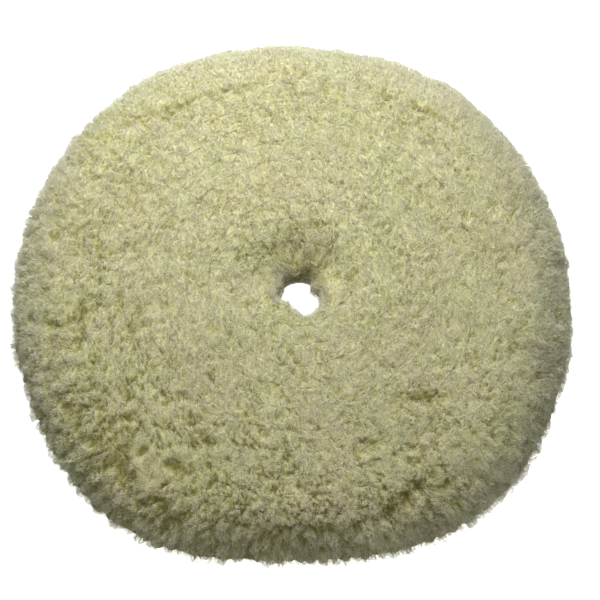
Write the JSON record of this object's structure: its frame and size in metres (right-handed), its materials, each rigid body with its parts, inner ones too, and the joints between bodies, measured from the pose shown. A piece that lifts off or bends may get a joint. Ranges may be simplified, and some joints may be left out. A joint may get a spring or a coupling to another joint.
{
  "type": "wool polishing pad",
  "caption": "Round single-sided wool polishing pad with a rolled edge, a hook-and-loop back and a centring hole, for a rotary polisher's backing plate.",
  "frame": {"origin": "centre of the bottom of the part: where the axis of the centre hole meets the plane of the loop fabric's back face", "axes": "+Z along the axis of the centre hole, from the loop back towards the wool face; X and Y are any two directions across the round pad"},
  "size_m": [0.203, 0.203, 0.0261],
  "materials": {
    "wool": "matte",
    "base_cloth": "matte",
    "latex": "satin",
    "foam": "matte",
    "adhesive": "satin",
    "loop_fabric": "matte",
    "binding_tape": "matte",
    "thread": "satin"
  },
  "bodies": {
    "root": {"loop_fabric": "loop_fabric", "loop_adhesive": "adhesive", "foam_cushion": "foam", "foam_adhesive": "adhesive", "latex_coat": "latex", "base_cloth": "base_cloth", "edge_binding": "binding_tape", "outer_seam": "thread", "inner_seam": "thread", "binding_seam": "thread", "wool_row_01": "wool", "wool_row_02": "wool", "wool_row_03": "wool", "wool_row_04": "wool", "wool_row_05": "wool", "wool_row_06": "wool", "wool_row_07": "wool", "wool_row_08": "wool", "wool_row_09": "wool", "wool_row_10": "wool", "wool_row_11": "wool", "wool_row_12": "wool", "wool_row_13": "wool"}
  },
  "joints": []
}
